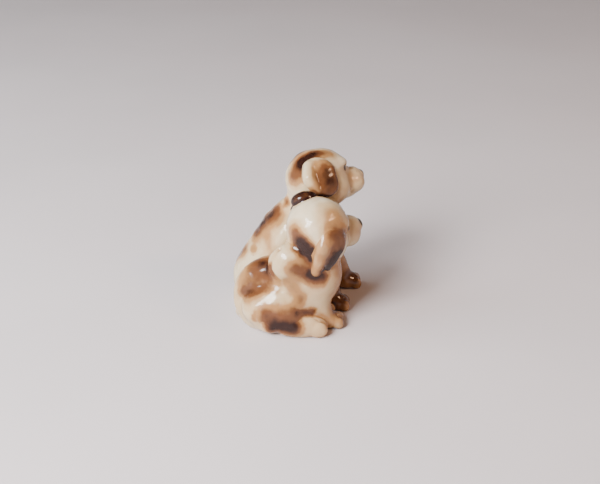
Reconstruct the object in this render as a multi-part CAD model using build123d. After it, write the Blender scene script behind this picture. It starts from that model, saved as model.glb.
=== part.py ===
"""A glazed ceramic figurine: two puppies that sit side by side and lean together.

Each puppy is a hollow cast body and a hollow cast head, luted at a flat neck seam, with pressed ears,
forelegs, hind feet and a tail luted on. The two bodies are luted to each other at a flat seam.

Frame: millimetres, +Z up, the puppies look along -Y and their left is +X. The group stands on Z = 0, with
the origin under the middle of its bounding box. Places are given as (forward, left, up) from a working
point on the floor between the puppies, and the whole group is moved to the origin at the end.
"""

from build123d import *

import os
from dataclasses import dataclass
from math import sqrt

PARTS_FOLDER = "parts"

# Casting and luting sizes that both puppies share.
WALL = 2.0  # thickness of the slip-cast shells
VENT_RADIUS = 1.6  # firing vent in each base
SEAM_LEFT = 2.4  # flat seam where the two bodies are luted, left of the working point

# Head sizes. Places on the head are (out, forward, up) from the middle of the skull.
SKULL_RADIUS = 10.2
CHEEK_RADIUS = 5.4
CHEEK_PLACE = (3.6, 4.8, -2.8)
BROW_RADIUS = 3.4
BROW_PLACE = (3.4, 6.6, 2.6)
MUZZLE_ROOT_RADIUS = 6.6
MUZZLE_ROOT = (0.0, 5.0, -3.6)
MUZZLE_RADIUS = 4.9
MUZZLE_END = (0.0, 12.4, -4.3)
NOSE_HALF_SIZES = (2.6, 1.5, 1.7)  # across, along and up
NOSE_PLACE = (0.0, 15.6, -1.8)

EAR_HALF_THICKNESS = 1.6

# Limb sizes.
LEG_TOP_RADIUS = 4.0
LEG_FOOT_RADIUS = 3.1
PAW_HALF_SIZES = (3.3, 4.2, 2.9)  # across, along and up
HIND_FOOT_HALF_SIZES = (3.5, 8.4, 3.0)  # across, along and up
FOOT_SINK = 0.5  # how far the middle of a paw or foot is set down, so that its sole is flat
TAIL_ROOT_RADIUS = 3.1
TAIL_TIP_RADIUS = 1.9


@dataclass
class Lump:
    """A rounded mass on the body: a haunch or a shoulder."""

    place: tuple  # forward, left, up
    half_sizes: tuple  # across, along, up
    lean: float = 0.0  # degrees that its front end is raised


@dataclass
class Ear:
    """A flap, from its root to its tip."""

    middle_line: tuple  # (out, forward, up) on the head
    half_widths: tuple


@dataclass
class Puppy:
    name: str
    left: float  # the body's middle line
    neck_forward: float
    neck_up: float
    neck_radius: float
    sections: tuple  # (share of the neck's height, back, front, half width), from the floor up
    head_scale: float
    yaw: float  # degrees that the head is turned to its left
    pitch: float  # degrees that the muzzle is lowered
    roll: float  # degrees that the head's right side is raised
    ears: dict  # side to its Ear
    lumps: tuple
    forelegs: dict  # side to the (forward, left, up) of its top and the (forward, left) of its paw
    hind_feet: dict  # side to (forward, left) of its middle and degrees that its toes turn left
    tail: tuple  # (forward, left, up) from the root to the tip


SIDE_EAR = Ear(
    middle_line=((6.4, -3.2, 7.8), (9.0, -2.8, 6.0), (10.9, -2.0, 2.8), (11.3, -0.9, -0.6), (10.8, -0.1, -3.2)),
    half_widths=(3.6, 5.3, 5.7, 5.0, 2.8),
)
HANGING_EAR = Ear(
    middle_line=((8.2, 0.4, 4.2), (10.8, 0.0, 1.8), (12.2, -0.8, -1.8), (12.6, -2.0, -5.4), (12.2, -3.2, -8.6)),
    half_widths=(3.6, 5.2, 5.7, 5.0, 2.8),
)
FOLDED_EAR = Ear(
    middle_line=((6.8, -0.8, 7.0), (9.2, -0.8, 5.2), (10.8, -1.0, 2.8), (11.2, -1.2, 0.4), (10.9, -1.2, -1.8)),
    half_widths=(2.6, 3.8, 4.1, 3.6, 2.0),
)

TALL = Puppy(
    name="tall",
    left=13.4,
    neck_forward=5.3,
    neck_up=39.1,
    neck_radius=8.7,
    sections=(
        (0.0, -20.6, 4.0, 10.2),
        (0.13, -22.6, 7.0, 11.4),
        (0.31, -21.6, 10.5, 11.6),
        (0.51, -18.0, 13.4, 11.0),
        (0.69, -12.8, 14.8, 10.2),
        (0.85, -7.6, 14.6, 9.3),
    ),
    head_scale=1.0,
    yaw=20.0,
    pitch=-3.0,
    roll=12.0,
    ears={"left": HANGING_EAR, "right": SIDE_EAR},
    lumps=(
        Lump((-7.5, 21.6, 8.8), (5.0, 12.2, 9.4), 12.0),
        Lump((-7.5, 6.6, 8.8), (5.0, 12.2, 9.4), 12.0),
        Lump((4.0, 19.8, 23.0), (4.4, 6.0, 8.0)),
        Lump((4.0, 7.4, 23.0), (4.4, 6.0, 8.0)),
    ),
    forelegs={
        "left": ((9.6, 19.2, 20.0), (17.8, 21.0)),
        "right": ((8.6, 8.2, 20.0), (12.8, 4.0)),
    },
    hind_feet={"left": ((2.5, 23.2), -6.0), "right": ((0.2, 6.2), 0.0)},
    tail=((-20.6, 15.4, 3.6), (-18.6, 21.6, 4.0), (-13.2, 25.2, 5.4)),
)

SMALL = Puppy(
    name="small",
    left=-6.2,
    neck_forward=5.6,
    neck_up=28.4,
    neck_radius=8.0,
    sections=(
        (0.0, -18.4, 5.0, 8.6),
        (0.17, -20.6, 8.0, 9.6),
        (0.42, -21.2, 11.6, 9.8),
        (0.63, -18.4, 13.8, 9.5),
        (0.82, -11.5, 13.9, 9.1),
    ),
    head_scale=1.01,
    yaw=26.0,
    pitch=3.0,
    roll=-25.0,
    ears={"left": FOLDED_EAR, "right": HANGING_EAR},
    lumps=(
        Lump((-6.8, -12.2, 8.4), (5.6, 12.8, 9.0), 18.0),
        Lump((-3.8, -11.8, 22.0), (3.8, 6.0, 8.4)),
        Lump((7.4, -8.0, 18.0), (6.0, 6.4, 8.0)),
    ),
    forelegs={
        "left": ((5.0, -2.4, 16.0), (7.6, -2.4)),
        "right": ((2.2, -12.0, 17.4), (10.2, -8.8)),
    },
    hind_feet={"right": ((0.6, -15.2), 3.0)},
    tail=((-19.2, -4.6, 3.6), (-18.0, -11.4, 4.4), (-12.8, -16.4, 6.8)),
)

SIDES = {"left": 1, "right": -1}
BIG = 200.0  # larger than the whole group


def at(forward, left, up):
    """A point in the frame, from how far forward, left and up it is."""
    return Vector(left, -forward, up)


def on_head(out, forward, up, side=1):
    """A point in the head's own frame, on its left for side 1 and on its right for side -1."""
    return at(forward, side * out, up)


def ellipsoid(across, along, up):
    return scale(Sphere(1), by=(across, along, up))


def above(shape, height):
    """The part of a shape that lies above a level plane."""
    return shape & Pos(0, 0, height + BIG / 2) * Box(BIG, BIG, BIG)


def tapered_rod(start, end, start_radius, end_radius):
    """A round-ended rod from start to end, whose sides are tangent to both round ends."""
    reach = (end - start).length
    tilt = (start_radius - end_radius) / reach
    across = sqrt(1 - tilt * tilt)
    start_side = (start_radius * across, start_radius * tilt)
    end_side = (end_radius * across, reach + end_radius * tilt)
    start_tip = (0, -start_radius)
    end_tip = (0, reach + end_radius)
    outline = Curve() + [
        TangentArc(start_tip, start_side, tangent=(1, 0)),
        Line(start_side, end_side),
        TangentArc(end_tip, end_side, tangent=(1, 0)),
        Line(end_tip, start_tip),
    ]
    rod = revolve(Plane.XZ * make_face(outline), Axis.Z)
    return Plane(origin=start, z_dir=end - start) * rod


def neck_bore(puppy):
    """Radius of the opening that joins the hollows of the body and the head."""
    hollow = SKULL_RADIUS * puppy.head_scale - WALL
    return sqrt(hollow**2 - neck_seat(puppy) ** 2)


def neck_seat(puppy):
    """Height of the skull's middle above the neck seam, where the skull is as wide as the neck."""
    skull = SKULL_RADIUS * puppy.head_scale
    return sqrt(skull**2 - puppy.neck_radius**2)


def torso(puppy):
    """The smooth body from the floor to the neck seam."""
    faces = []
    for share, back, front, half_width in puppy.sections:
        middle = at((front + back) / 2, puppy.left, share * puppy.neck_up)
        faces.append(Pos(middle) * Ellipse(half_width, (front - back) / 2))
    faces.append(Pos(at(puppy.neck_forward, puppy.left, puppy.neck_up)) * Circle(puppy.neck_radius))
    return loft(faces)


def torso_hollow(puppy):
    """The space inside the body's wall, from the wall of its base up through the neck seam."""
    faces = []
    for share, back, front, half_width in puppy.sections:
        up = max(share * puppy.neck_up, WALL)
        middle = at((front + back) / 2, puppy.left, up)
        faces.append(Pos(middle) * Ellipse(half_width - WALL, (front - back) / 2 - WALL))
    faces.append(Pos(at(puppy.neck_forward, puppy.left, puppy.neck_up)) * Circle(neck_bore(puppy)))
    return loft(faces)


def base_vent(puppy):
    _, back, front, _ = puppy.sections[0]
    return Pos(at((front + back) / 2, puppy.left, WALL / 2)) * Cylinder(VENT_RADIUS, 2 * WALL)


def body_solid(puppy):
    """The outer shape of a body, before it is hollowed."""
    body = torso(puppy)
    for lump in puppy.lumps:
        body += Pos(at(*lump.place)) * Rot(-lump.lean, 0, 0) * ellipsoid(*lump.half_sizes)
    return above(body, 0)


def head_frame(puppy):
    """The place of the skull's middle and the turn of the head."""
    middle = at(puppy.neck_forward, puppy.left, puppy.neck_up + neck_seat(puppy))
    return Pos(middle) * Rot(0, 0, puppy.yaw) * Rot(puppy.pitch, 0, 0) * Rot(0, puppy.roll, 0)


def head_solid(puppy):
    """The outer shape of a head, before it is hollowed and seated on its body."""
    head = Sphere(SKULL_RADIUS)
    head += tapered_rod(on_head(*MUZZLE_ROOT), on_head(*MUZZLE_END), MUZZLE_ROOT_RADIUS, MUZZLE_RADIUS)
    head += Pos(on_head(*NOSE_PLACE)) * ellipsoid(*NOSE_HALF_SIZES)
    for side in SIDES.values():
        head += Pos(on_head(*CHEEK_PLACE, side)) * Sphere(CHEEK_RADIUS)
        head += Pos(on_head(*BROW_PLACE, side)) * Sphere(BROW_RADIUS)
    return head_frame(puppy) * scale(head, by=puppy.head_scale)


def head_hollow(puppy):
    return head_frame(puppy) * Sphere(SKULL_RADIUS * puppy.head_scale - WALL)


def ear_flap(puppy, side_name):
    """A flap that follows its middle line down from the crown, through flat elliptical sections."""
    side = SIDES[side_name]
    flap = puppy.ears[side_name]
    points = [on_head(*point, side) for point in flap.middle_line]
    faces = []
    for i, (point, half_width) in enumerate(zip(points, flap.half_widths)):
        along = points[min(i + 1, len(points) - 1)] - points[max(i - 1, 0)]
        section = Plane(origin=point, x_dir=Vector(0, -1, 0), z_dir=along)
        faces.append(section * Ellipse(half_width, EAR_HALF_THICKNESS))
    return head_frame(puppy) * scale(loft(faces), by=puppy.head_scale)


def foreleg(top, paw):
    """A leg from the chest to the floor, with a rounded paw under it."""
    _, _, paw_half_height = PAW_HALF_SIZES
    paw_middle = at(*paw, paw_half_height - FOOT_SINK)
    leg = tapered_rod(at(*top), paw_middle, LEG_TOP_RADIUS, LEG_FOOT_RADIUS)
    return above(leg + Pos(paw_middle) * ellipsoid(*PAW_HALF_SIZES), 0)


def hind_foot(middle, turn):
    _, _, half_height = HIND_FOOT_HALF_SIZES
    foot = Rot(0, 0, turn) * ellipsoid(*HIND_FOOT_HALF_SIZES)
    return above(Pos(at(*middle, half_height - FOOT_SINK)) * foot, 0)


def curled_tail(points):
    """A tail that lies round the haunch, thinner towards its tip."""
    step = (TAIL_ROOT_RADIUS - TAIL_TIP_RADIUS) / (len(points) - 1)
    tail = None
    for i, (start, end) in enumerate(zip(points, points[1:])):
        radius = TAIL_ROOT_RADIUS - i * step
        piece = tapered_rod(at(*start), at(*end), radius, radius - step)
        tail = piece if tail is None else tail + piece
    return above(tail, 0)


def luted_pieces(puppy):
    """A puppy's pieces by node name. Each later piece is cut to seat on those before it."""
    body = body_solid(puppy)
    head = head_solid(puppy) - body
    seats = body + head
    pieces = {
        "body": body - torso_hollow(puppy) - base_vent(puppy),
        "head": head - head_hollow(puppy),
    }
    for side in puppy.ears:
        pieces[f"ear_{side}"] = ear_flap(puppy, side) - seats
    for side, (top, paw) in puppy.forelegs.items():
        pieces[f"foreleg_{side}"] = foreleg(top, paw) - seats
        seats += pieces[f"foreleg_{side}"]
    for side, (middle, turn) in puppy.hind_feet.items():
        pieces[f"hind_foot_{side}"] = hind_foot(middle, turn) - seats
        seats += pieces[f"hind_foot_{side}"]
    pieces["tail"] = curled_tail(puppy.tail) - seats
    return {f"{puppy.name}_{piece}": shape for piece, shape in pieces.items()}


def seam_side(shape, side):
    """The part of a body on one side of the flat seam between the puppies."""
    return shape & Pos(SEAM_LEFT + side * BIG / 2, 0, 0) * Box(BIG, BIG, BIG)


def figurine():
    """All the pieces of the group by node name, in the working frame."""
    tall = luted_pieces(TALL)
    small = luted_pieces(SMALL)
    tall["tall_body"] = seam_side(tall["tall_body"], 1)
    small["small_body"] = seam_side(small["small_body"], -1)
    for name, shape in small.items():
        for neighbour in tall.values():
            if shape.bounding_box().overlaps(neighbour.bounding_box()):
                shape = shape - neighbour
        small[name] = shape
    return tall | small


if __name__ == "__main__":
    os.makedirs(PARTS_FOLDER, exist_ok=True)
    pieces = figurine()
    boxes = [piece.bounding_box() for piece in pieces.values()]
    middle_x = (min(box.min.X for box in boxes) + max(box.max.X for box in boxes)) / 2
    middle_y = (min(box.min.Y for box in boxes) + max(box.max.Y for box in boxes)) / 2
    to_origin = Pos(-middle_x, -middle_y, 0)
    for name, piece in pieces.items():
        export_step(to_origin * piece, f"{PARTS_FOLDER}/{name}.step")
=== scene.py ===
"""The looks of a glazed ceramic figurine: two puppies that sit side by side and lean together.

Every piece is sculpted as a distance field, in millimetres, as (forward, left, up) from a working point on
the floor between the puppies. The fields of all the pieces blend into one glazed skin. Each CAD node gets
its own closed mesh of that skin, which dips under its neighbours at their luted seams.
"""

import bpy
import numpy as np
from math import cos, radians, sin
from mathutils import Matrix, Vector


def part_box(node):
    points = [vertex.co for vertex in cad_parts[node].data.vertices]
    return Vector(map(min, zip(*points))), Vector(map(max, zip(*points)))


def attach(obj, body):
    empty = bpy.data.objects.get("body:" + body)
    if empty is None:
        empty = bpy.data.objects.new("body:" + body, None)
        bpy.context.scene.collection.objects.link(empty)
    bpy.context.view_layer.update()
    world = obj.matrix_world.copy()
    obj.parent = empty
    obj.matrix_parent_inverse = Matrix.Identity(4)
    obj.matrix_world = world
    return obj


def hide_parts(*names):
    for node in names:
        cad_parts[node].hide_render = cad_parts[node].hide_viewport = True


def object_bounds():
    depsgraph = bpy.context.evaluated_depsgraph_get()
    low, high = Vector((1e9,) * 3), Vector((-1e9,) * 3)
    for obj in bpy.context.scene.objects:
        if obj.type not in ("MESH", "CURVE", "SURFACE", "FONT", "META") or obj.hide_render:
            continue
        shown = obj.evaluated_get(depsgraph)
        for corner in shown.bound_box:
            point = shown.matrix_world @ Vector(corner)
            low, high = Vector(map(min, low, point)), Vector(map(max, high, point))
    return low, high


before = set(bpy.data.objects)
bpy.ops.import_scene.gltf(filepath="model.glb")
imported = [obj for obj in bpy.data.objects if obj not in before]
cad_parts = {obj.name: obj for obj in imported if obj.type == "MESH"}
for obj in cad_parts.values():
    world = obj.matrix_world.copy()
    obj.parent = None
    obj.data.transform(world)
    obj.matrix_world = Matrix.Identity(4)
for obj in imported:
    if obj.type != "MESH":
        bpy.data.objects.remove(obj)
cad_low, cad_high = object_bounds()

MM = 0.001  # metres in a millimetre

# The working point, found from the flat seam between the bodies and from the tall puppy's left toes.
SEAM_LEFT = 2.4
LEFT_TOES_FORWARD = 22.0
SEAM_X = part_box("tall_body")[0].x
TOES_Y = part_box("tall_foreleg_left")[0].y
WORK_X = SEAM_X - SEAM_LEFT * MM
WORK_Y = TOES_Y + LEFT_TOES_FORWARD * MM


# ---------------------------------------------------------------------------------------------------------
# Distance fields. p is an array of points, and each field is negative inside its shape.


def smooth_union(a, b, blend):
    """Both shapes, with the crease between them filled over about the blend length."""
    overlap = np.maximum(blend - np.abs(a - b), 0) / blend
    return np.minimum(a, b) - overlap**2 * blend / 4


def smooth_cut(a, b, blend):
    """What the shapes have in common, with the edge between them rounded."""
    return -smooth_union(-a, -b, blend)


def turned(points, yaw=0.0, pitch=0.0, roll=0.0):
    """Points in the frame of a shape turned left by yaw, nose down by pitch, and right side up by roll."""
    y, p, r = radians(yaw), radians(pitch), radians(roll)
    turn_yaw = np.array([[cos(y), -sin(y), 0], [sin(y), cos(y), 0], [0, 0, 1]])
    turn_pitch = np.array([[cos(p), 0, sin(p)], [0, 1, 0], [-sin(p), 0, cos(p)]])
    turn_roll = np.array([[1, 0, 0], [0, cos(r), sin(r)], [0, -sin(r), cos(r)]])
    return points @ (turn_yaw @ turn_pitch @ turn_roll)


def ellipsoid(p, middle, half_sizes, **turn):
    q = turned(p - np.array(middle), **turn) if turn else p - np.array(middle)
    half_sizes = np.array(half_sizes)
    reach = np.linalg.norm(q / half_sizes, axis=1) + 1e-9
    slope = np.linalg.norm(q / half_sizes**2, axis=1) + 1e-9
    return reach * (reach - 1) / slope


def line_distance(p, points):
    """Distance to a line of straight runs, and how far along it each point's nearest place is, 0 to 1."""
    points = [np.array(point, float) for point in points]
    best, along = np.full(len(p), np.inf), np.zeros(len(p))
    for i, (start, end) in enumerate(zip(points, points[1:])):
        run = end - start
        share = np.clip((p - start) @ run / (run @ run), 0, 1)
        distance = np.linalg.norm(p - start - share[:, None] * run, axis=1)
        nearer = distance < best
        best = np.where(nearer, distance, best)
        along = np.where(nearer, (i + share) / (len(points) - 1), along)
    return best, along


def rod(p, points, radii):
    """A round rod along a line of straight runs, with a radius at each of its points."""
    distance, along = line_distance(p, points)
    return distance - np.interp(along, np.linspace(0, 1, len(radii)), radii)


def groove(field, p, points, depth, width):
    """The field with a soft groove pressed in along a line."""
    distance, _ = line_distance(p, points)
    return field + depth * np.exp(-((distance / width) ** 2))


def mirrored(q):
    """Points with their left side folded onto the right, for shapes that both sides share."""
    return q * np.array([1, 0, 1]) + np.abs(q) * np.array([0, 1, 0])


# ---------------------------------------------------------------------------------------------------------
# Heads and ears, as (forward, left, up) from the middle of the skull.

SKULL_RADIUS = 10.2
EYE = (9.1, 4.6, 2.9)
EYE_RADIUS = 1.25
EYEBALL_BACK = (0.75, 0.1, 0)  # how far the eyeball's middle lies behind the painted eye
SOCKET_REACH = (1.6, 1.7, 1.3)
SOCKET_DEPTH = 0.55
NOSE = (16.1, 0.0, -1.2)
NOSE_HALF_SIZES = (1.5, 2.3, 1.6)
FLAP_HALF_THICKNESS = 1.15


def head_shape(q, forehead, brow, chin_rise):
    """A head whose forehead and brow reach that far forward, and whose chin is lifted."""
    m = mirrored(q)
    head = ellipsoid(q, (0, 0, 0), (SKULL_RADIUS, SKULL_RADIUS, SKULL_RADIUS))
    head = smooth_union(head, ellipsoid(q, (forehead - 7.3, 0, 2.2), (7.3, 7.2, 6.8)), 2.6)
    head = smooth_union(head, ellipsoid(m, (4.8, 4.4, -3.6), (5.6, 5.0, 5.3)), 2.4)
    head = smooth_union(head, ellipsoid(m, (brow - 2.4, 3.3, 4.5), (2.4, 2.4, 1.7)), 1.8)
    head = smooth_union(head, muzzle_shape(q, m, chin_rise), 1.7)
    socket = np.linalg.norm((m - np.array(EYE)) / np.array(SOCKET_REACH), axis=1)
    head = head + SOCKET_DEPTH * np.exp(-(socket**2))
    eyeball = np.linalg.norm(m - np.array(EYE) + np.array(EYEBALL_BACK), axis=1) - EYE_RADIUS
    head = smooth_union(head, eyeball, 0.25)
    lid = [(8.7, 6.3, 2.9), (9.9, 4.9, 4.0), (10.3, 3.3, 3.4)]
    return groove(head, m, lid, depth=0.22, width=0.35)


def muzzle_shape(q, m, chin_rise):
    """The bridge, lips, jaw and nose, with the mouth line and nostrils pressed in."""
    bridge = rod(q, [(6.0, 0, -1.4), (13.0, 0, -1.9)], (4.6, 3.8))
    lips = ellipsoid(m, (12.2, 1.9, -4.3 + chin_rise / 2), (4.7, 3.4, 4.4 - chin_rise / 2))
    jaw = ellipsoid(q, (10.0 - chin_rise / 2, 0, -7.6 + chin_rise), (5.2, 3.8, 2.6))
    muzzle = smooth_union(smooth_union(bridge, lips, 1.6), jaw, 0.9)
    muzzle = smooth_union(muzzle, ellipsoid(q, NOSE, NOSE_HALF_SIZES), 0.6)
    mouth = [(16.6, 0, -6.0), (14.4, 2.9, -7.3), (10.2, 4.5, -6.5)]
    muzzle = groove(muzzle, m, mouth, depth=0.35, width=0.4)
    muzzle = groove(muzzle, q, [(17.4, 0, -2.6), (16.9, 0, -5.8)], depth=0.35, width=0.35)
    nostril = ellipsoid(m, (17.0, 0.95, -1.7), (0.7, 0.42, 0.4))
    return smooth_cut(muzzle, -nostril, 0.3)


def flap_shape(q, outline, lie, back_edge, hollow):
    """An ear flap: an outline seen from the side, bent to lie on the head, with a rolled back edge.

    q has the ear's own side as left. outline and back_edge are each a line's points and radii, and lie is
    the three terms of the curve in up that gives how far out the flap is.
    """
    edge = rod(q * np.array([1, 0, 1]), *outline)
    forward, left, up = q.T
    level, slope, bend = lie
    out = level + slope * up + bend * up**2 - (forward + 0.6) ** 2 / 24
    steepness = np.sqrt(1 + (slope + 2 * bend * up) ** 2 + (forward / 12) ** 2)
    sheet = np.abs(left - out) / steepness - FLAP_HALF_THICKNESS
    flap = smooth_cut(edge, sheet, 1.2)
    flap = groove(flap, q, hollow, depth=0.5, width=1.6)
    return smooth_union(flap, rod(q, *back_edge), 1.6)


def on_right(q):
    """Points mirrored, so that a right ear is sculpted as a left one."""
    return q * np.array([1, -1, 1])


def side_ear(q):
    """An ear that lies flat on the side of the skull."""
    return flap_shape(
        q,
        outline=([(-1.0, 0, 2.2), (-0.2, 0, 0.2)], (5.9, 5.0)),
        lie=(11.0, -0.20, -0.050),
        back_edge=([(-4.2, 7.2, 6.4), (-5.4, 9.8, 2.6), (-4.0, 11.0, -2.0)], (1.3, 1.8, 1.3)),
        hollow=[(-2.2, 10.4, 5.8), (-2.4, 12.4, 0.4)],
    )


def hanging_ear(q):
    """An ear that hangs past the jaw."""
    return flap_shape(
        q,
        outline=([(1.2, 0, 1.4), (-1.6, 0, -7.6)], (5.2, 2.9)),
        lie=(11.2, -0.36, -0.035),
        back_edge=([(-0.6, 6.8, 5.6), (-3.2, 10.6, 0.2), (-3.4, 12.4, -7.8)], (1.0, 1.9, 1.3)),
        hollow=[(0.6, 12.0, 1.2), (-0.8, 13.2, -6.4)],
    )


def folded_ear(q):
    """An ear that is folded and squeezed against the taller puppy."""
    ear = ellipsoid(q, (-2.4, 8.3, 5.2), (4.6, 2.9, 4.2), roll=-25)
    tip = rod(q, [(-2.4, 10.4, 3.6), (-3.6, 10.6, -1.6)], (1.9, 1.2))
    return smooth_union(ear, tip, 1.4)


# ---------------------------------------------------------------------------------------------------------
# Bodies, legs, feet and tails, as (forward, left, up) from the working point.

TALL_LEFT = 13.4  # the taller puppy's middle line
TRUNK_NARROWING = 1.05  # how much narrower its trunk is than it is deep
TALL_HEAD = dict(middle=(5.4, TALL_LEFT, 44.3), scale=0.985, yaw=20.0, pitch=-3.0, roll=12.0)
SMALL_HEAD = dict(middle=(5.7, -6.2, 35.0), scale=0.975, yaw=26.0, pitch=3.0, roll=-25.0)


def in_head(p, place):
    """Points in a head's own frame, from the working frame."""
    q = turned(p - np.array(place["middle"]), place["yaw"], place["pitch"], place["roll"])
    return q / place["scale"]


def tall_body(p):
    """The taller body: trunk, chest and rump, with upper arms, shoulder blades and haunches."""
    middle = np.array([0, TALL_LEFT, 0])
    narrowed = (p - middle) * np.array([1, TRUNK_NARROWING, 1]) + middle
    spine = [(-8.8, TALL_LEFT, 11.0), (-2.4, TALL_LEFT, 24.5), (5.8, TALL_LEFT, 38.0)]
    body = rod(narrowed, spine, (12.8, 11.0, 7.3))
    body = smooth_union(body, ellipsoid(p, (5.0, TALL_LEFT, 23.5), (9.7, 9.6, 13.0)), 4.0)
    body = smooth_union(body, ellipsoid(p, (-8.6, TALL_LEFT, 7.6), (14.2, 11.6, 10.8)), 3.0)
    for left in (19.2, 7.6):
        upper_arm = ellipsoid(p, (4.0, left, 22.6), (6.2, 4.8, 8.4))
        body = smooth_union(body, upper_arm, 1.8)
    for left in (20.0, 7.0):
        shoulder_blade = ellipsoid(p, (-4.4, left, 26.2), (4.8, 4.5, 7.2), pitch=26)
        body = smooth_union(body, shoulder_blade, 1.8)
    for left in (21.6, 6.4):
        haunch = ellipsoid(p, (-6.8, left, 8.6), (12.4, 5.0, 9.4), pitch=-14)
        body = smooth_union(body, haunch, 1.0)
    return body


def small_body(p):
    """The lower body: a rump with a flat flank, chest, neck, belly, elbow, shoulder and folded hind leg."""
    flat_flank = p @ np.array([-0.35, -0.90, 0.25]) - 18.6
    body = smooth_cut(ellipsoid(p, (-8.4, -6.0, 10.2), (13.6, 9.6, 14.0)), flat_flank, 2.5)
    chest = ellipsoid(p, (5.4, -6.0, 18.4), (8.8, 9.2, 11.6))
    neck = rod(p, [(-1.0, -6.2, 18.0), (5.2, -6.2, 29.0)], (9.2, 8.0))
    belly = ellipsoid(p, (3.0, -6.4, 6.0), (7.6, 7.6, 9.0))
    elbow = ellipsoid(p, (1.6, -10.8, 11.0), (5.4, 4.6, 6.4))
    shoulder = ellipsoid(p, (-2.7, -11.4, 23.8), (7.5, 5.0, 7.4), pitch=8)
    for lump, blend in ((chest, 4.0), (neck, 3.0), (belly, 2.0), (elbow, 2.4), (shoulder, 0.9)):
        body = smooth_union(body, lump, blend)
    fold = [(-6.0, -12.0, 29.4), (-9.6, -13.2, 23.4), (-6.4, -16.4, 17.6), (-1.4, -17.0, 16.4)]
    body = groove(body, p, fold, depth=0.9, width=0.9)
    between_forelegs = [(12.8, -5.8, 13.0), (9.0, -5.8, 1.0)]
    body = groove(body, p, between_forelegs, depth=2.0, width=1.8)
    waist = [(-20.6, -9.4, 10.0), (-13.0, -14.6, 15.0), (-4.0, -16.8, 20.0)]
    body = groove(body, p, waist, depth=0.9, width=1.5)
    thigh = rod(p, [(-13.2, -10.2, 8.2), (-6.0, -9.8, 13.1), (-2.4, -11.0, 11.8)], (6.0, 5.8, 5.4))
    knee = ellipsoid(p, (-6.4, -12.0, 6.6), (9.0, 6.2, 6.8), yaw=-16)
    return smooth_union(body, smooth_union(thigh, knee, 4.0), 1.1)


def paw_shape(p, middle, half_sizes, yaw=0.0):
    """A paw or foot whose toes are parted by grooves over its front."""
    forward, left, up = half_sizes
    q = turned(p - np.array(middle), yaw=yaw)
    paw = ellipsoid(q, (0, 0, 0), half_sizes)
    m = mirrored(q)
    for toe_left in (0.0, left * 0.62):
        toe = ellipsoid(m, (forward * 0.66, toe_left, -0.5), (forward * 0.3 + 0.5, left * 0.36, up * 0.72))
        paw = smooth_union(paw, toe, 0.5)
    parting = [(forward * 0.5, left * 0.33, up * 0.85), (forward * 0.96, left * 0.33, -up * 0.2)]
    return groove(paw, m, parting, depth=0.32, width=0.32)


def foreleg(p, shoulder, wrist, paw, shoulder_radius=4.0, yaw=0.0):
    """A foreleg from its shoulder to its wrist, with a paw turned left by yaw."""
    leg = rod(p, [shoulder, wrist], (shoulder_radius, WRIST_RADIUS))
    return smooth_union(leg, paw_shape(p, paw, PAW_HALF_SIZES, yaw), 1.2)


def tail(p, points):
    """A tail that tapers from its root to its tip."""
    return rod(p, points, np.linspace(TAIL_ROOT_RADIUS, TAIL_TIP_RADIUS, len(points)))


# Limb sizes. Half sizes are along, across and up.
WRIST_RADIUS = 2.9
PAW_HALF_SIZES = (4.3, 3.5, 3.0)
HIND_FOOT_HALF_SIZES = (8.4, 3.5, 3.0)
FOLDED_LEG_FOOT_HALF_SIZES = (8.6, 3.7, 4.0)
TAIL_ROOT_RADIUS = 2.9
TAIL_TIP_RADIUS = 2.1
TALL_TAIL = [(-19.6, 14.4, 3.4), (-18.2, 20.6, 3.6), (-12.6, 24.4, 4.6)]
SMALL_TAIL = [(-18.6, -3.0, 3.0), (-15.2, -8.8, 3.0), (-9.6, -15.4, 3.6), (-12.6, -14.6, 7.6)]

FIELDS = {
    "tall_body": tall_body,
    "tall_head": lambda p: head_shape(in_head(p, TALL_HEAD), forehead=11.2, brow=10.8, chin_rise=1.5),
    "tall_ear_left": lambda p: hanging_ear(in_head(p, TALL_HEAD)),
    "tall_ear_right": lambda p: side_ear(on_right(in_head(p, TALL_HEAD))),
    "tall_foreleg_left": lambda p: foreleg(
        p, shoulder=(9.0, 19.2, 20.0), wrist=(16.4, 21.0, 3.0), paw=(17.4, 21.0, 2.4), yaw=4
    ),
    "tall_foreleg_right": lambda p: foreleg(
        p, shoulder=(8.4, 8.2, 20.0), wrist=(11.6, 4.2, 3.4), paw=(12.8, 4.0, 2.5), yaw=-4
    ),
    "tall_hind_foot_left": lambda p: paw_shape(p, (2.5, 23.2, 2.5), HIND_FOOT_HALF_SIZES, yaw=-6),
    "tall_hind_foot_right": lambda p: paw_shape(p, (0.2, 6.2, 2.5), HIND_FOOT_HALF_SIZES),
    "tall_tail": lambda p: tail(p, TALL_TAIL),
    "small_body": small_body,
    "small_head": lambda p: head_shape(in_head(p, SMALL_HEAD), forehead=9.5, brow=8.9, chin_rise=0.0),
    "small_ear_left": lambda p: folded_ear(in_head(p, SMALL_HEAD)),
    "small_ear_right": lambda p: hanging_ear(on_right(in_head(p, SMALL_HEAD))),
    "small_foreleg_left": lambda p: foreleg(
        p, shoulder=(5.0, -2.4, 16.0), wrist=(7.2, -2.4, 3.0), paw=(7.6, -2.4, 2.4)
    ),
    "small_foreleg_right": lambda p: foreleg(
        p, shoulder=(3.2, -10.8, 17.6), wrist=(9.2, -9.4, 3.4), paw=(10.2, -8.8, 2.6), shoulder_radius=4.4
    ),
    "small_hind_foot_right": lambda p: paw_shape(p, (0.6, -15.2, 3.4), FOLDED_LEG_FOOT_HALF_SIZES, yaw=3),
    "small_tail": lambda p: tail(p, SMALL_TAIL),
}

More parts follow.
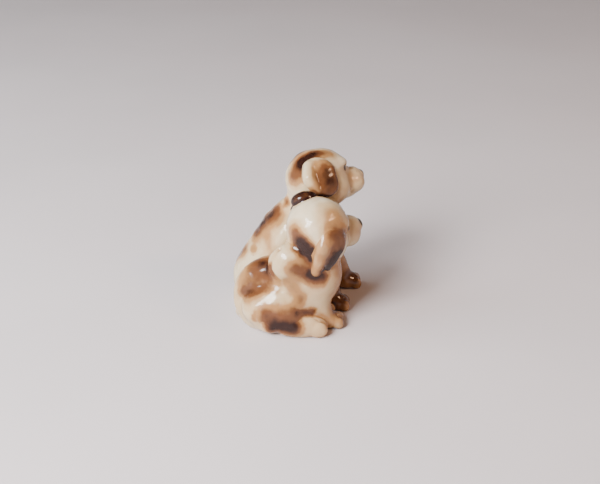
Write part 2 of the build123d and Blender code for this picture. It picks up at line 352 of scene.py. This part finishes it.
# How softly each piece runs into its own puppy, in the order that they are luted on.
BLENDS = {
    "head": 3.0,
    "foreleg_left": 1.6,
    "foreleg_right": 1.6,
    "hind_foot_left": 1.0,
    "hind_foot_right": 1.0,
    "tail": 1.6,
    "ear_left": 0.7,
    "ear_right": 0.7,
}
GROUP_BLEND = 0.8
DIP = 0.8  # how fast a piece sinks under its neighbour past their seam, per millimetre
FLOOR_EDGE = 0.7  # how softly the sides run into the flat base
VENTS = {"tall_body": (-8.3, TALL_LEFT), "small_body": (-6.7, -6.2)}  # how far forward and left
VENT_RADIUS = 1.6
VENT_DEPTH = 4.0
SLOW_UNEVENNESS = 0.10  # how high the hand-made surface's long waves are, in millimetres
QUICK_UNEVENNESS = 0.05  # the same for its short waves


def glazed_skin(own):
    """The whole group's field, from the fields of its pieces."""
    puppies = []
    for puppy in ("tall", "small"):
        skin = own[f"{puppy}_body"]
        for piece, blend in BLENDS.items():
            if f"{puppy}_{piece}" in own:
                skin = smooth_union(skin, own[f"{puppy}_{piece}"], blend)
        puppies.append(skin)
    return smooth_union(*puppies, GROUP_BLEND)


def coarse_extent(name):
    """Lowest and highest corners of the space within a coarse step of a piece, in the working frame."""
    axes = [np.arange(low, high, COARSE) for low, high in work_box()]
    points = np.stack(np.meshgrid(*axes, indexing="ij"), axis=-1).reshape(-1, 3)
    within = points[FIELDS[name](points) < COARSE]
    return within.min(0) - COARSE, within.max(0) + COARSE


def field_near(name, p):
    """A piece's field, or FAR_OFF at the points that are too far from it to matter."""
    low, high = EXTENTS[name]
    near = np.all((p > low - FAR_OFF / 2) & (p < high + FAR_OFF / 2), axis=1)
    field = np.full(len(p), FAR_OFF)
    if near.any():
        field[near] = FIELDS[name](p[near])
    return field


def hand_made(p):
    """Slight unevenness, in millimetres, left by the mould and the fettling knife."""
    forward, left, up = p.T
    slow = np.sin(0.61 * forward + 0.43 * up + 1.0) * np.sin(0.52 * left - 0.37 * up)
    quick = np.sin(1.13 * up + 0.9 * left) * np.sin(1.27 * forward - 0.71 * left + 2.0)
    return SLOW_UNEVENNESS * slow + QUICK_UNEVENNESS * quick


def piece_field(p, name):
    """The closed shape of one piece: the group's skin where it is this piece's, dipped elsewhere."""
    own = {other: field_near(other, p) for other in FIELDS}
    nearest_other = np.min([field for other, field in own.items() if other != name], axis=0)
    dip = DIP * np.maximum(own[name] - nearest_other, 0) ** 2
    field = glazed_skin(own) + hand_made(p) + dip
    field = smooth_cut(field, -p[:, 2], FLOOR_EDGE)
    if name in VENTS:
        forward, left = VENTS[name]
        vent = np.hypot(p[:, 0] - forward, p[:, 1] - left) - VENT_RADIUS
        field = smooth_cut(field, -np.maximum(vent, p[:, 2] - VENT_DEPTH), 0.5)
    return field


# ---------------------------------------------------------------------------------------------------------
# Meshes from fields.

BODY_CELL = 0.42  # grid step, in millimetres
CELL = 0.27  # the same for every other piece
COARSE = 1.5  # grid step that finds where each piece is
ROOM = 3.0  # space searched outside the CAD box
FAR_OFF = 9.0  # stands for the distance of a piece that is too far off to matter
SKIN_REACH = 2.0  # the group's skin is worked out within this distance of a piece's own shape
SLOPE_STEP = 0.02  # how far apart the field is read to find its slope
SETTLE_STEPS = 2
POOL_REACHES = (0.8, 1.8)  # how far out, in millimetres, the glaze feels for the other side of a fold


def work_to_frame(points):
    """Points in the working frame, in millimetres, as metres in the frame."""
    forward, left, up = points.T
    return np.stack([WORK_X + left * MM, WORK_Y - forward * MM, up * MM], axis=1)


def work_box():
    """The group's CAD box, with some room, as (low, high) forward, left and up in millimetres."""
    forward = ((WORK_Y - cad_high.y) / MM, (WORK_Y - cad_low.y) / MM)
    left = ((cad_low.x - WORK_X) / MM, (cad_high.x - WORK_X) / MM)
    up = (cad_low.z / MM, cad_high.z / MM)
    return [(low - ROOM, high + ROOM) for low, high in (forward, left, up)]


def surface_net(field, low, cell):
    """Points and four-sided faces where a field on a grid changes sign."""
    inside = field < 0
    total = np.zeros(tuple(n - 1 for n in field.shape) + (3,))
    count = np.zeros(tuple(n - 1 for n in field.shape))
    crossings = []
    for axis in range(3):
        a = np.take(field, range(field.shape[axis] - 1), axis)
        b = np.take(field, range(1, field.shape[axis]), axis)
        change = (a < 0) != (b < 0)
        share = np.where(change, a / np.where(a == b, 1, a - b), 0)
        crossings.append((change, (a < 0)))
        others = [other for other in range(3) if other != axis]
        for step_one in (0, 1):
            for step_two in (0, 1):
                cut = [slice(None)] * 3
                cut[others[0]] = slice(step_one, step_one + count.shape[others[0]])
                cut[others[1]] = slice(step_two, step_two + count.shape[others[1]])
                here = change[tuple(cut)]
                count += here
                total[..., axis] += np.where(here, share[tuple(cut)], 0)
                total[..., others[0]] += np.where(here, step_one, 0)
                total[..., others[1]] += np.where(here, step_two, 0)
    used = count > 0
    number = np.full(used.shape, -1)
    number[used] = np.arange(used.sum())
    corners = np.argwhere(used)
    points = low + (corners + total[used] / count[used][:, None]) * cell
    faces = []
    for axis in range(3):
        change, starts_inside = crossings[axis]
        one, two = [(1, 2), (2, 0), (0, 1)][axis]
        cells = np.argwhere(change)
        inner = (cells[:, one] > 0) & (cells[:, two] > 0)
        inner &= (cells[:, one] < used.shape[one]) & (cells[:, two] < used.shape[two])
        cells = cells[inner]
        step_one, step_two = np.eye(3, dtype=int)[one], np.eye(3, dtype=int)[two]
        ring = [cells - step_one - step_two, cells - step_two, cells, cells - step_one]
        quads = np.stack([number[tuple(corner.T)] for corner in ring], axis=1)
        outward = starts_inside[tuple(cells.T)]
        faces.append(np.where(outward[:, None], quads, quads[:, ::-1]))
    return points, np.concatenate(faces)


def settle(points, name):
    """Points moved onto the piece's surface, along the field's slope."""
    for _ in range(SETTLE_STEPS):
        value = piece_field(points, name)
        ahead = [piece_field(points + offset, name) for offset in np.eye(3) * SLOPE_STEP]
        slope = (np.stack(ahead, axis=1) - value[:, None]) / SLOPE_STEP
        size = np.maximum((slope**2).sum(axis=1), 0.2)
        points = points - slope * (value / size)[:, None]
    return points


def pool_depth(points, normals):
    """How deep in a crease each point lies, 0 on a bulge to 1 in a fold: glaze runs and gathers there."""
    depth = np.zeros(len(points))
    for reach in POOL_REACHES:
        out = points + normals * reach
        field = glazed_skin({name: field_near(name, out) for name in FIELDS})
        depth += np.clip(1 - field / reach, 0, 1) / len(POOL_REACHES)
    return depth


def sculpt(name):
    """A piece's mesh, in the frame, made from its field."""
    cell = (BODY_CELL if name.endswith("body") else CELL) * 1
    low, high = EXTENTS[name]
    axes = [np.arange(low[i], high[i] + cell, cell) for i in range(3)]
    grid = np.stack(np.meshgrid(*axes, indexing="ij"), axis=-1)
    flat = grid.reshape(-1, 3)
    field = FIELDS[name](flat) + 1.0
    near = field < 1.0 + SKIN_REACH
    field[near] = piece_field(flat[near], name)
    points, faces = surface_net(field.reshape(grid.shape[:3]), low, cell)
    points = settle(points, name)
    mesh = bpy.data.meshes.new(f"{name}_skin")
    mesh.from_pydata(work_to_frame(points).tolist(), [], faces.tolist())
    mesh.polygons.foreach_set("use_smooth", [True] * len(mesh.polygons))
    mesh.update()
    normals = np.array([vertex.normal for vertex in mesh.vertices])
    pool = pool_depth(points, normals[:, [1, 0, 2]] * np.array([-1, 1, 1]))
    mesh.attributes.new("pool", "FLOAT", "POINT").data.foreach_set("value", pool)
    piece = bpy.data.objects.new(f"{name}_skin", mesh)
    bpy.context.scene.collection.objects.link(piece)
    return piece


EXTENTS = {name: coarse_extent(name) for name in FIELDS}


# ---------------------------------------------------------------------------------------------------------
# The glaze: ivory, with soft sprayed patches of brown that break up a little at their edges, and a few
# light brown washes that are painted shade.


def feed(tree, socket, value):
    """An input set to a value, or joined to another node's output."""
    if isinstance(value, bpy.types.NodeSocket):
        tree.links.new(value, socket)
    else:
        socket.default_value = value


def add(tree, kind, inputs, **settings):
    """A new node with these settings, whose inputs are set or joined up. Returns its outputs."""
    node = tree.nodes.new(f"ShaderNode{kind}")
    for name, value in settings.items():
        setattr(node, name, value)
    for key, value in inputs.items():
        feed(tree, node.inputs[key], value)
    return node.outputs


def mix(tree, share, first, second, blend="MIX"):
    """Two colours mixed, with a share of the second from 0 to 1."""
    node = tree.nodes.new("ShaderNodeMix")
    node.data_type = "RGBA"
    node.blend_type = blend
    sockets = {socket.identifier: socket for socket in node.inputs}
    for key, value in (("Factor_Float", share), ("A_Color", first), ("B_Color", second)):
        feed(tree, sockets[key], value)
    return next(socket for socket in node.outputs if socket.identifier == "Result_Color")


def calculate(tree, operation, *values):
    """The result of a sum on numbers."""
    return add(tree, "Math", dict(enumerate(values)), operation=operation)[0]


def vector(tree, operation, inputs):
    """The outputs of a vector sum: [0] is a vector and [1] is a number."""
    return add(tree, "VectorMath", inputs, operation=operation)


def shift_range(tree, value, from_range, to_range, kind="SMOOTHSTEP"):
    """A value carried from one range to another, and held at its ends."""
    ranges = {0: value, 1: from_range[0], 2: from_range[1], 3: to_range[0], 4: to_range[1]}
    return add(tree, "MapRange", ranges, interpolation_type=kind)[0]


def noise(tree, place, scale, detail=2.0, seed=0.0):
    """A cloudy texture, with its own places for each seed."""
    moved = vector(tree, "ADD", {0: place, 1: (seed, seed * 0.7, seed * 1.3)})[0]
    return add(tree, "TexNoise", {"Vector": moved, "Scale": scale, "Detail": detail})


def ramp(tree, value, stops):
    """Colours blended along a value. stops is a list of (position, colour)."""
    node = tree.nodes.new("ShaderNodeValToRGB")
    node.color_ramp.interpolation = "EASE"
    elements = node.color_ramp.elements
    while len(elements) < len(stops):
        elements.new(0.5)
    for element, (position, colour) in zip(elements, stops):
        element.position = position
        element.color = (*colour, 1)
    tree.links.new(value, node.inputs[0])
    return node.outputs[0]


def frame_point(point):
    """One point of the working frame, in the frame."""
    return Vector(work_to_frame(np.array([point], float))[0])


def distance_to_stroke(tree, place, start, end):
    """Distance, in metres, from each place to the line that a spray stroke, or a wash of painted shade,
    follows.
    """
    start, end = frame_point(start), frame_point(end)
    run = end - start
    apart = vector(tree, "SUBTRACT", {0: place, 1: start})[0]
    along = vector(tree, "DOT_PRODUCT", {0: apart, 1: run / run.length_squared})[1]
    along = add(tree, "Math", {0: along, 1: 0.0}, operation="ADD", use_clamp=True)[0]
    nearest = vector(tree, "SCALE", {0: run, "Scale": along})[0]
    return vector(tree, "DISTANCE", {0: apart, 1: nearest})[1]


BY_THE_KNEE = "small_body small_foreleg_right small_hind_foot_right"

# Spray strokes: the pieces that each one colours, its start and end in the working frame, its radius in
# millimetres, and how much brown it lays down. The strokes marked as washes are painted shade, not glaze.
STROKES = [
    # The tall puppy's crown, cheek and nape.
    ("tall_head", (-1.8, 6.9, 48.0), (0.8, 8.4, 51.6), 3.2, 0.66),
    ("tall_head", (0.8, 8.4, 51.8), (5.0, 10.8, 54.0), 2.7, 0.68),
    ("tall_head", (5.0, 10.8, 54.0), (9.4, 12.6, 53.6), 2.2, 0.42),
    ("tall_head", (-1.0, 16.8, 52.0), (1.6, 20.4, 49.4), 3.2, 0.85),
    ("tall_head", (11.6, 20.6, 48.2), (12.4, 19.2, 50.2), 2.6, 0.70),
    ("tall_head", (17.4, 12.6, 44.6), (20.6, 16.4, 43.0), 3.0, 0.22),
    ("tall_head", (12.8, 9.6, 47.4), (13.8, 11.4, 43.4), 1.6, 0.40),
    # A light brown wash that is painted shade on the tall puppy's lower right cheek and jaw.
    ("tall_head", (13.2, 8.0, 41.5), (11.8, 8.4, 37.0), 3.4, 0.30),
    # Its ears.
    ("tall_ear_right", (9.9, 3.8, 48.2), (10.6, 2.6, 45.6), 4.7, 0.76),
    ("tall_ear_right", (7.2, 5.0, 52.4), (11.0, 4.6, 51.2), 2.6, 0.22),
    ("tall_ear_left", (6.6, 24.4, 45.0), (4.2, 26.0, 36.6), 3.4, 0.88),
    # Its back, flanks and rump.
    ("tall_body", (-14.2, 12.4, 26.8), (-9.0, 11.4, 33.4), 2.8, 0.70),
    ("tall_body", (-14.0, 10.4, 25.6), (-8.0, 8.4, 32.0), 3.8, 0.42),
    ("tall_body", (-4.4, 9.6, 37.0), (-3.6, 11.8, 37.2), 1.3, 0.50),
    ("tall_body", (-16.2, 7.8, 20.9), (-15.4, 7.0, 20.6), 1.2, 0.40),
    ("tall_body", (-10.4, 4.8, 25.6), (-9.4, 4.4, 21.4), 1.8, 0.22),
    ("tall_body", (-13.4, 22.0, 15.6), (-5.8, 25.0, 12.0), 4.4, 0.85),
    ("tall_body", (-2.0, 21.4, 29.6), (1.8, 22.0, 24.8), 3.0, 0.62),
    ("tall_body", (-20.6, 15.6, 14.0), (-19.0, 12.0, 18.0), 2.6, 0.50),
    # The small puppy's head and ears.
    ("small_head small_body", (-1.6, -13.0, 36.0), (1.4, -15.3, 32.0), 2.9, 0.58),
    ("small_head small_body", (0.8, -15.0, 33.0), (3.8, -15.2, 28.9), 2.5, 0.92),
    ("small_head small_ear_right", (10.0, -13.6, 36.6), (13.8, -11.6, 34.0), 2.8, 0.48),
    ("small_head", (3.4, -2.0, 44.4), (10.4, -3.0, 43.6), 1.3, 0.45),
    ("small_head", (17.8, -5.0, 34.0), (19.8, -1.6, 31.0), 2.6, 0.22),
    ("small_ear_right", (12.6, -14.0, 28.6), (9.6, -14.4, 22.6), 3.0, 0.96),
    ("small_ear_right", (11.4, -15.4, 34.6), (13.0, -13.8, 31.0), 2.2, 0.25),
    ("small_head", (10.2, -11.4, 41.0), (12.8, -11.8, 35.6), 3.8, 0.34),
    ("small_ear_left", (-2.0, -1.4, 42.0), (3.4, -1.6, 43.4), 4.6, 0.97),
    # Its neck, back, thigh and foot.
    ("small_body", (-1.4, -16.4, 24.8), (6.4, -15.4, 20.6), 2.7, 0.62),
    ("small_body", (3.4, -15.6, 21.6), (7.8, -15.0, 21.4), 1.9, 0.55),
    ("small_body", (-13.6, -7.6, 22.6), (-16.6, -11.4, 15.6), 4.4, 0.54),
    ("small_body", (-12.0, -9.0, 23.4), (-10.6, -12.6, 19.4), 2.4, 0.50),
    ("small_body", (-18.6, -10.8, 13.6), (-8.0, -15.2, 17.8), 1.8, 0.48),
    ("small_body", (-9.4, -12.6, 23.8), (-6.4, -16.2, 17.8), 1.1, 0.45),
    ("small_body", (-3.4, -15.4, 19.4), (0.6, -16.2, 14.2), 2.1, 0.42),
    ("small_body", (-10.6, -17.0, 8.8), (-1.8, -17.6, 9.6), 3.0, 0.50),
    (BY_THE_KNEE, (-0.6, -16.8, 8.8), (4.4, -14.8, 8.6), 1.3, 0.60),
    ("small_body small_hind_foot_right small_tail", (-7.8, -18.0, 5.0), (-1.8, -18.4, 4.4), 2.8, 0.88),
    ("small_body small_tail", (-10.8, -17.2, 7.6), (-9.6, -17.8, 4.0), 1.8, 0.36),
    ("small_tail small_body", (-14.6, -15.6, 6.6), (-14.2, -15.4, 9.0), 0.9, 0.45),
    # Light brown washes that are painted shade, not glaze: the shaded front of the small puppy's chest and
    # forelegs, its right paw and the toes of its hind foot.
    ("small_body small_foreleg_right small_foreleg_left", (12.0, -7.0, 22.0), (11.4, -7.0, 4.0), 5.4, 0.34),
    ("small_hind_foot_right", (5.6, -15.0, 2.0), (9.6, -15.0, 2.0), 3.4, 0.26),
    ("small_foreleg_right", (9.0, -9.0, 4.4), (14.0, -8.8, 2.0), 3.2, 0.24),
    # The legs, paws and tails that are brown all over, more thickly at the toes.
    ("tall_foreleg_right tall_body", (10.4, 5.6, 12.0), (12.6, 4.2, 3.0), 5.0, 0.54),
    ("tall_foreleg_right", (12.4, 4.2, 4.0), (15.6, 4.0, 1.4), 3.6, 0.32),
    ("tall_foreleg_left tall_body", (10.6, 19.4, 17.6), (17.4, 21.0, 3.0), 5.0, 0.52),
    ("tall_foreleg_left", (16.6, 21.0, 4.0), (21.0, 21.0, 1.4), 3.4, 0.20),
    ("tall_hind_foot_left", (-3.0, 24.6, 2.0), (1.0, 25.2, 3.0), 3.0, 0.70),
    ("tall_tail tall_body", (-16.0, 22.6, 4.0), (-12.0, 25.0, 5.0), 3.0, 0.75),
]

# How brown each piece is all over, under its strokes.
BASE_BROWN = {
    "tall_head": 0.06,
    "small_head": 0.06,
    "small_ear_right": 0.30,
    "tall_ear_left": 0.34,
    "small_ear_left": 0.62,
}
THIN_BROWN = 0.10  # the same for every other piece

# The glaze's colour, from bare ivory to the thickest brown.
GLAZE_STOPS = [
    (0.00, (0.585, 0.485, 0.345)),
    (0.17, (0.46, 0.315, 0.175)),
    (0.38, (0.30, 0.145, 0.056)),
    (0.62, (0.115, 0.041, 0.015)),
    (0.88, (0.018, 0.006, 0.004)),
]
WARM_TINT = (1.0, 0.965, 0.93)
COOL_TINT = (0.955, 0.985, 0.965)
SPECK_COLOUR = (0.10, 0.045, 0.022, 1)
PAINT_COLOUR = (0.022, 0.012, 0.009, 1)

SPRAY_REACH = (0.05, 1.95)  # where a stroke starts and ends to fade, in shares of its radius
EDGE_WAVE = 0.0008  # how far, in metres, a stroke's edge wanders
PAINT_EDGE = 0.00025  # half the width, in metres, of the soft edge of painted spots
POOL_DEEPENING = 0.55  # how much browner the glaze is where it gathers in folds
POOL_ON_BARE = 0.45  # how much of that shows on glaze with no brown
SPECK_SCALE = 330.0  # cells in a metre, some of which have an iron speck
SPECK_RADII = (0.045, 0.075)  # where a speck starts and ends to fade, in shares of a cell
SPECK_RARITY = 0.72  # the share of the cells that have no speck
SPECK_STRENGTH = 0.75
PAINT_STRENGTH = 0.94
RIPPLE_HEIGHT = 0.00022  # in metres
RIPPLE_STRENGTH = 0.35
PIT_DEPTH = 0.12  # how deep the pinholes are, against the ripple

GLAZE_SHADER = {
    "Specular IOR Level": 0.05,
    "Coat Weight": 0.6,
    "Coat Roughness": 0.13,
    "Subsurface Weight": 0.12,
    "Subsurface Radius": (1.0, 0.7, 0.5),
    "Subsurface Scale": 0.0016,
}
GLAZE_ROUGHNESS = (0.16, 0.30)
EYE_PAINT_RADIUS = 1.15
EYE_PAINT_OUT = 0.1
NOSE_PAINT_RADIUS = 2.0
NOSE_PAINT_OUT = 0.7
NOSE_PAINT_UP = 0.2


def from_head(place, q):
    """A point in a head's own frame, as (forward, left, up) from the working point."""
    axes = turned(np.eye(3), place["yaw"], place["pitch"], place["roll"])
    return np.array(q) * place["scale"] @ axes.T + np.array(place["middle"])


def painted_spots(place):
    """Where the eyes and nose are painted dark: (middle, radius in millimetres)."""
    forward, left, up = EYE
    eyes = [(forward + EYE_PAINT_OUT, side * (left + EYE_PAINT_OUT), up) for side in (1, -1)]
    nose = (NOSE[0] + NOSE_PAINT_OUT, 0.0, NOSE[2] + NOSE_PAINT_UP)
    spots = [(from_head(place, eye), EYE_PAINT_RADIUS) for eye in eyes]
    return spots + [(from_head(place, nose), NOSE_PAINT_RADIUS)]


def brown_depth(tree, place, name):
    """How thick the brown is, 0 where it is bare: sprayed in strokes, cloudy, and gathered in folds.

    A few of the strokes are washes of painted shade rather than glaze.
    """
    wave = noise(tree, place, 420.0, seed=0.31)["Color"]
    wave = vector(tree, "SUBTRACT", {0: wave, 1: (0.5, 0.5, 0.5)})[0]
    wave = vector(tree, "SCALE", {0: wave, "Scale": EDGE_WAVE * 2})[0]
    sprayed = vector(tree, "ADD", {0: place, 1: wave})[0]
    bare = 1.0 - BASE_BROWN.get(name, THIN_BROWN)
    for pieces, start, end, radius, strength in STROKES:
        if name in pieces.split():
            distance = distance_to_stroke(tree, sprayed, start, end)
            reach = tuple(radius * share * MM for share in SPRAY_REACH)
            missed = shift_range(tree, distance, reach, (1 - strength, 1.0))
            bare = calculate(tree, "MULTIPLY", bare, missed)
    cloud = noise(tree, place, 260.0, 4.0, seed=0.83)[0]
    cloud = shift_range(tree, cloud, (0.3, 0.7), (0.90, 1.06), "LINEAR")
    brown = calculate(tree, "MULTIPLY", calculate(tree, "SUBTRACT", 1.0, bare), cloud)
    pool = add(tree, "Attribute", {}, attribute_name="pool")["Fac"]
    pooled = calculate(tree, "MULTIPLY", pool, calculate(tree, "ADD", brown, POOL_ON_BARE))
    return calculate(tree, "ADD", brown, calculate(tree, "MULTIPLY", pooled, POOL_DEEPENING))


def glaze_colour(tree, place, speck, name):
    """The colour of one piece: glaze with a drifting tint, iron specks, and painted eyes and nose."""
    colour = ramp(tree, brown_depth(tree, place, name), GLAZE_STOPS)
    tint = noise(tree, place, 75.0, 2.0, seed=0.47)[0]
    tint = ramp(tree, tint, [(0.35, WARM_TINT), (0.65, COOL_TINT)])
    colour = mix(tree, 1.0, colour, tint, "MULTIPLY")
    is_speck = shift_range(tree, speck["Distance"], SPECK_RADII, (1.0, 0.0))
    chance = add(tree, "SeparateColor", {0: speck["Color"]})[0]
    has_speck = calculate(tree, "GREATER_THAN", chance, SPECK_RARITY)
    is_speck = calculate(tree, "MULTIPLY", is_speck, has_speck)
    colour = mix(tree, calculate(tree, "MULTIPLY", is_speck, SPECK_STRENGTH), colour, SPECK_COLOUR)
    if name.endswith("head"):
        for middle, radius in painted_spots(TALL_HEAD if name.startswith("tall") else SMALL_HEAD):
            away = vector(tree, "DISTANCE", {0: place, 1: frame_point(middle)})[1]
            edges = (radius * MM - PAINT_EDGE, radius * MM + PAINT_EDGE)
            painted = shift_range(tree, away, edges, (PAINT_STRENGTH, 0.0))
            colour = mix(tree, painted, colour, PAINT_COLOUR)
    return colour


def glaze(name):
    """The glaze of one piece, with the spray strokes and the washes of painted shade that reach it."""
    material = bpy.data.materials.new(f"{name}_glaze")
    material.use_nodes = True
    tree = material.node_tree
    shader = tree.nodes["Principled BSDF"]
    place = add(tree, "TexCoord", {})["Object"]
    speck = add(tree, "TexVoronoi", {"Vector": place, "Scale": SPECK_SCALE, "Randomness": 1.0})
    tree.links.new(glaze_colour(tree, place, speck, name), shader.inputs["Base Color"])

    smear = noise(tree, place, 180.0, 3.0, seed=0.12)[0]
    roughness = shift_range(tree, smear, (0.3, 0.7), GLAZE_ROUGHNESS, "LINEAR")
    tree.links.new(roughness, shader.inputs["Roughness"])
    ripple = noise(tree, place, 300.0, 1.0, seed=0.66)[0]
    pits = shift_range(tree, speck["Distance"], (0.0, 0.12), (0.0, 1.0))
    height = calculate(tree, "ADD", ripple, calculate(tree, "MULTIPLY", pits, PIT_DEPTH))
    ripples = {"Height": height, "Strength": RIPPLE_STRENGTH, "Distance": RIPPLE_HEIGHT}
    bump = add(tree, "Bump", ripples)[0]
    tree.links.new(bump, shader.inputs["Normal"])
    tree.links.new(bump, shader.inputs["Coat Normal"])
    for socket, value in GLAZE_SHADER.items():
        shader.inputs[socket].default_value = value
    return material


for name in FIELDS:
    piece = sculpt(name)
    piece.data.materials.append(glaze(name))
    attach(piece, "root")
    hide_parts(name)


# ---------------------------------------------------------------------------------------------------------
# The floor, the light and the camera.

FLOOR_SIZE = 3.0
FLOOR_COLOUR = (0.55, 0.48, 0.47)
DAYLIGHT = (0.95, 0.97, 1.0)
LAMPLIGHT = (1.0, 0.58, 0.34)
SKYLIGHT = (0.78, 0.90, 1.0)
LIT_PLACE = (0, 0, 0.025)  # what the lights face
CAMERA_ELEVATION = radians(28)
SENSOR_WIDTH = 36.0


def plain(name, colour):
    """A matt, faintly uneven surface."""
    material = bpy.data.materials.new(name)
    material.use_nodes = True
    tree = material.node_tree
    shader = tree.nodes["Principled BSDF"]
    place = add(tree, "TexCoord", {})["Object"]
    cloud = noise(tree, place, 9.0, 3.0)[0]
    light = tuple(min(channel * 1.05, 1.0) for channel in colour)
    tree.links.new(ramp(tree, cloud, [(0.3, colour), (0.7, light)]), shader.inputs["Base Color"])
    shader.inputs["Roughness"].default_value = 0.8
    return material


def add_object(name, data, location, toward=None):
    """An object placed in the scene, turned to face a point if one is given."""
    thing = bpy.data.objects.new(name, data)
    bpy.context.scene.collection.objects.link(thing)
    thing.location = location
    if toward is not None:
        thing.rotation_euler = (Vector(location) - Vector(toward)).to_track_quat("Z", "Y").to_euler()
    return thing


def add_floor(size):
    """A square of plain pale floor."""
    mesh = bpy.data.meshes.new("floor")
    corners = [(x * size / 2, y * size / 2, 0.0) for x, y in ((-1, -1), (1, -1), (1, 1), (-1, 1))]
    mesh.from_pydata(corners, [], [(0, 1, 2, 3)])
    floor = add_object("floor", mesh, (0, 0, 0))
    mesh.materials.append(plain("floor", FLOOR_COLOUR))


def add_light(name, location, size, power, colour, mirrored_by_glaze=True):
    """A square light of a size in metres and a power in watts, which faces the group."""
    data = bpy.data.lights.new(name, "AREA")
    data.size = size
    data.energy = power
    data.color = colour
    light = add_object(name, data, location, toward=LIT_PLACE)
    light.visible_glossy = mirrored_by_glaze


def add_world(walls, ceiling):
    """Pale walls around, which darken upward into the ceiling."""
    world = bpy.data.worlds.new("studio")
    bpy.context.scene.world = world
    world.use_nodes = True
    tree = world.node_tree
    direction = add(tree, "TexCoord", {})["Generated"]
    up = add(tree, "SeparateXYZ", {0: direction})["Z"]
    colour = ramp(tree, up, [(0.20, walls), (0.50, ceiling)])
    tree.links.new(colour, tree.nodes["Background"].inputs["Color"])


def add_camera(elevation, distance, view_width, aim):
    """A camera on the small puppy's side, raised about the working point, which aims at a forward and up.

    view_width is how much it sees across at the working point.
    """
    data = bpy.data.cameras.new("camera")
    back = Vector((-cos(elevation), 0, sin(elevation)))
    work_point = frame_point((0, 0, 0))
    add_object("camera", data, work_point + back * distance, toward=frame_point((aim[0], 0, aim[1])))
    data.sensor_width = SENSOR_WIDTH
    data.lens = data.sensor_width * distance / view_width
    bpy.context.scene.camera = bpy.data.objects["camera"]


add_floor(FLOOR_SIZE)
add_light("window", (-0.45, 0.32, 0.39), size=0.29, power=14.0, colour=DAYLIGHT)
add_light("lamp", (-0.23, -0.63, 0.57), size=0.15, power=2.6, colour=LAMPLIGHT)
add_light("sky", (-0.08, 0.52, 0.40), size=0.50, power=6.0, colour=SKYLIGHT, mirrored_by_glaze=False)
add_world(walls=(0.66, 0.63, 0.62), ceiling=(0.05, 0.045, 0.042))
add_camera(CAMERA_ELEVATION, distance=0.42, view_width=0.2058, aim=(0.3, 26.9))
